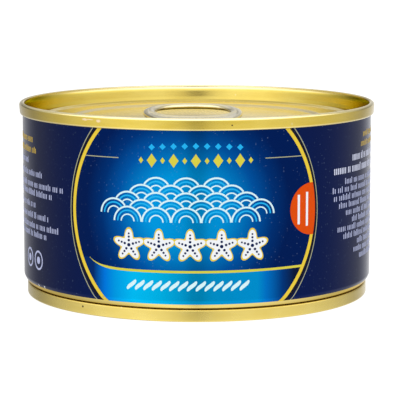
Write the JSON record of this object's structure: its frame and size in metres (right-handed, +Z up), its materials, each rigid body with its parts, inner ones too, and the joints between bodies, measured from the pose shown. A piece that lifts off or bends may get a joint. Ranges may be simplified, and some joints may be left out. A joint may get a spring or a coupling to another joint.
{
  "type": "tuna can",
  "caption": "Shut round food can of printed steel, necked at its foot for stacking, with a double-seamed gold lid and a ring pull.",
  "frame": {"origin": "centre of the circle that the can stands on", "axes": "+Z up along the can's axis; -Y is the front of the print and the side where the ring pull's rivet is"},
  "size_m": [0.086, 0.086, 0.0465],
  "materials": {
    "blue_print": "glossy printed and varnished tinplate",
    "gold_lacquer": "satin gold-lacquered tinplate",
    "pale_lacquer": "satin pale gold lacquered steel"
  },
  "bodies": {
    "root": {"can_body": "blue_print", "lid": "gold_lacquer", "bottom_end": "gold_lacquer", "ring_pull": "pale_lacquer"}
  },
  "joints": []
}
